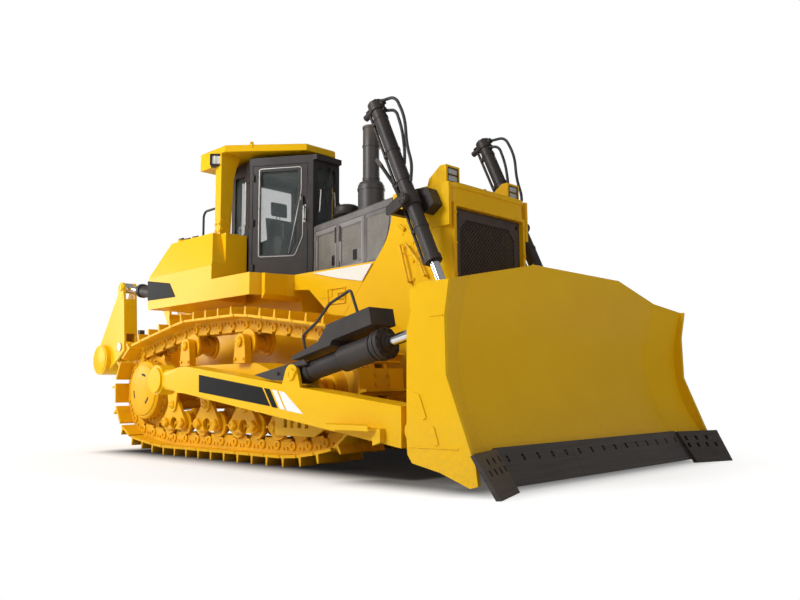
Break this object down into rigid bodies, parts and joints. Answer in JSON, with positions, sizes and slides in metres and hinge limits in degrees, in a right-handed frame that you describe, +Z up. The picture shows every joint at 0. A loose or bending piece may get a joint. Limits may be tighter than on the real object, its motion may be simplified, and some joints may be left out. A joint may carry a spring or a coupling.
{
  "type": "crawler bulldozer",
  "caption": "Large crawler bulldozer with a raised semi-U blade on push arms, tilt and lift cylinders, a cab under a protective canopy, opening doors and a working rear ripper.",
  "frame": {"origin": "on the ground under the machine, halfway between the ripper and the blade end bits, on the centre plane", "axes": "+X forward towards the blade, +Y to the left of the operator, +Z up"},
  "size_m": [9.6115, 4.3722, 4.1799],
  "materials": {
    "bare_steel": "bare steel",
    "cab_plastic": "moulded trim",
    "charcoal_paint": "satin charcoal",
    "edge_steel": "dark wear steel",
    "exhaust_steel": "heat-darkened",
    "glass": "tinted safety glass",
    "hose_rubber": "hydraulic hose",
    "lamp_lens": "lamp lens",
    "rod_chrome": "polished chrome",
    "seat_fabric": "woven seat cloth",
    "yellow_paint": "gloss construction yellow"
  },
  "bodies": {
    "chassis": {"cab_console": "cab_plastic", "cab_glass": "glass", "cab_shell": "charcoal_paint", "carrier_rollers": "yellow_paint", "cross_axles": "bare_steel", "engine_block": "yellow_paint", "exhaust_stack": "exhaust_steel", "fenders": "yellow_paint", "fuel_tank": "yellow_paint", "grille": "charcoal_paint", "handrails": "bare_steel", "hood": "charcoal_paint", "idlers": "yellow_paint", "lamps": "lamp_lens", "lift_yokes": "charcoal_paint", "main_frame": "yellow_paint", "operator_seat": "seat_fabric", "radiator_core": "charcoal_paint", "radiator_guard": "yellow_paint", "ripper_bracket": "yellow_paint", "rops_canopy": "yellow_paint", "sprockets": "yellow_paint", "track_frame_left": "yellow_paint", "track_frame_right": "yellow_paint", "track_left": "yellow_paint", "track_right": "yellow_paint", "track_rollers": "yellow_paint"},
    "push_arms": {"push_arms": "yellow_paint"},
    "blade": {"blade": "yellow_paint", "cutting_edges": "edge_steel"},
    "lift_barrels": {"lift_barrels": "charcoal_paint", "lift_hoses": "hose_rubber"},
    "lift_rods": {"lift_rods": "rod_chrome"},
    "tilt_barrels": {"tilt_barrels": "charcoal_paint", "tilt_covers": "charcoal_paint"},
    "tilt_rods": {"tilt_rods": "rod_chrome"},
    "cab_door_left": {"cab_door_left": "charcoal_paint", "door_glass_left": "glass"},
    "cab_door_right": {"cab_door_right": "charcoal_paint", "door_glass_right": "glass"},
    "engine_door_rear_left": {"engine_door_rear_left": "charcoal_paint"},
    "engine_door_rear_right": {"engine_door_rear_right": "charcoal_paint"},
    "engine_door_middle_left": {"engine_door_middle_left": "charcoal_paint"},
    "engine_door_middle_right": {"engine_door_middle_right": "charcoal_paint"},
    "ripper_arms": {"ripper_arms": "yellow_paint"},
    "ripper_pins": {"ripper_pins": "charcoal_paint"},
    "ripper_beam": {"ripper_beam": "yellow_paint", "ripper_shank": "edge_steel"},
    "ripper_lift_barrels": {"ripper_lift_barrels": "charcoal_paint"},
    "ripper_lift_rods": {"ripper_lift_rods": "rod_chrome"},
    "ripper_tilt_barrels": {"ripper_tilt_barrels": "charcoal_paint"},
    "ripper_tilt_rods": {"ripper_tilt_rods": "rod_chrome"}
  },
  "joints": [
    {"name": "blade_lift", "type": "hinge", "parent": "chassis", "child": "push_arms", "pos_m": [-0.592, 0, 0.95], "axis": [0, -1, 0], "range_deg": [-7.5, 15.5]},
    {"name": "blade_pitch", "type": "hinge", "parent": "push_arms", "child": "blade", "pos_m": [3.7, 0, 0.463], "axis": [0, 1, 0], "range_deg": [-5, 5]},
    {"name": "lift_cylinder_swing", "type": "hinge", "parent": "chassis", "child": "lift_barrels", "pos_m": [2.84, 0, 2.76], "axis": [0, -1, 0], "range_deg": [-7.77, 16.05]},
    {"name": "lift_cylinder_slide", "type": "slide", "parent": "lift_barrels", "child": "lift_rods", "axis": [0.4102, 0, -0.912], "range_m": [-1.0648, 0.5155]},
    {"name": "tilt_cylinder_swing", "type": "hinge", "parent": "push_arms", "child": "tilt_barrels", "pos_m": [2.103, 0, 0.968], "axis": [0, 1, 0], "range_deg": [-0.97, 0.97]},
    {"name": "tilt_cylinder_slide", "type": "slide", "parent": "tilt_barrels", "child": "tilt_rods", "axis": [0.9777, 0, 0.2098], "range_m": [-0.0742, 0.0742]},
    {"name": "ripper_lift", "type": "hinge", "parent": "chassis", "child": "ripper_arms", "pos_m": [-2.5, 0, 1.29], "axis": [0, 1, 0], "range_deg": [-42, 14]},
    {"name": "ripper_level", "type": "hinge", "parent": "ripper_arms", "child": "ripper_pins", "pos_m": [-3.94, 0, 1.54], "axis": [0, 1, 0], "range_deg": [-14.28, 42.84]},
    {"name": "ripper_pitch", "type": "hinge", "parent": "ripper_pins", "child": "ripper_beam", "pos_m": [-3.94, 0, 1.54], "axis": [0, 1, 0], "range_deg": [-12, 10]},
    {"name": "ripper_lift_cylinder_swing", "type": "hinge", "parent": "chassis", "child": "ripper_lift_barrels", "pos_m": [-2.48, 0, 2.04], "axis": [0, 1, 0], "range_deg": [-29.39, 9.8]},
    {"name": "ripper_lift_cylinder_slide", "type": "slide", "parent": "ripper_lift_barrels", "child": "ripper_lift_rods", "axis": [-0.9261, 0, -0.3773], "range_m": [-0.1555, 0.4655]},
    {"name": "ripper_tilt_cylinder_swing", "type": "hinge", "parent": "chassis", "child": "ripper_tilt_barrels", "pos_m": [-2.52, 0, 2.271], "axis": [0, 1, 0], "range_deg": [-42.84, 14.28]},
    {"name": "ripper_tilt_cylinder_slide", "type": "slide", "parent": "ripper_tilt_barrels", "child": "ripper_tilt_rods", "axis": [-0.9853, 0, 0.1711], "range_m": [-0.1714, 0.2055]},
    {"name": "cab_door_left_swing", "type": "hinge", "parent": "chassis", "child": "cab_door_left", "pos_m": [-0.34292, 0.69295, 3], "axis": [0, 0, 1], "range_deg": [0, 100]},
    {"name": "cab_door_right_swing", "type": "hinge", "parent": "chassis", "child": "cab_door_right", "pos_m": [-0.34292, -0.69295, 3], "axis": [0, 0, -1], "range_deg": [0, 100]},
    {"name": "engine_door_rear_left_swing", "type": "hinge", "parent": "chassis", "child": "engine_door_rear_left", "pos_m": [0.5454, 0.33551, 2.56], "axis": [0, 0, 1], "range_deg": [0, 90]},
    {"name": "engine_door_rear_right_swing", "type": "hinge", "parent": "chassis", "child": "engine_door_rear_right", "pos_m": [0.5454, -0.33551, 2.56], "axis": [0, 0, -1], "range_deg": [0, 90]},
    {"name": "engine_door_middle_left_swing", "type": "hinge", "parent": "chassis", "child": "engine_door_middle_left", "pos_m": [1.1394, 0.45693, 2.56], "axis": [0, 0, 1], "range_deg": [0, 90]},
    {"name": "engine_door_middle_right_swing", "type": "hinge", "parent": "chassis", "child": "engine_door_middle_right", "pos_m": [1.1394, -0.45693, 2.56], "axis": [0, 0, -1], "range_deg": [0, 90]}
  ],
  "couplings": [
    {"joint": "lift_cylinder_swing", "follows": "blade_lift", "ratio": 1.0151},
    {"joint": "lift_cylinder_slide", "follows": "blade_lift", "m_per_rad": -3.8569},
    {"joint": "tilt_cylinder_swing", "follows": "blade_pitch", "ratio": 0.18982},
    {"joint": "tilt_cylinder_slide", "follows": "blade_pitch", "m_per_rad": 0.82784},
    {"joint": "ripper_level", "follows": "ripper_lift", "ratio": -1},
    {"joint": "ripper_lift_cylinder_swing", "follows": "ripper_lift", "ratio": 0.68604},
    {"joint": "ripper_lift_cylinder_slide", "follows": "ripper_lift", "m_per_rad": -0.62186},
    {"joint": "ripper_tilt_cylinder_swing", "follows": "ripper_lift", "ratio": 1},
    {"joint": "ripper_tilt_cylinder_slide", "follows": "ripper_pitch", "m_per_rad": -0.95984}
  ]
}
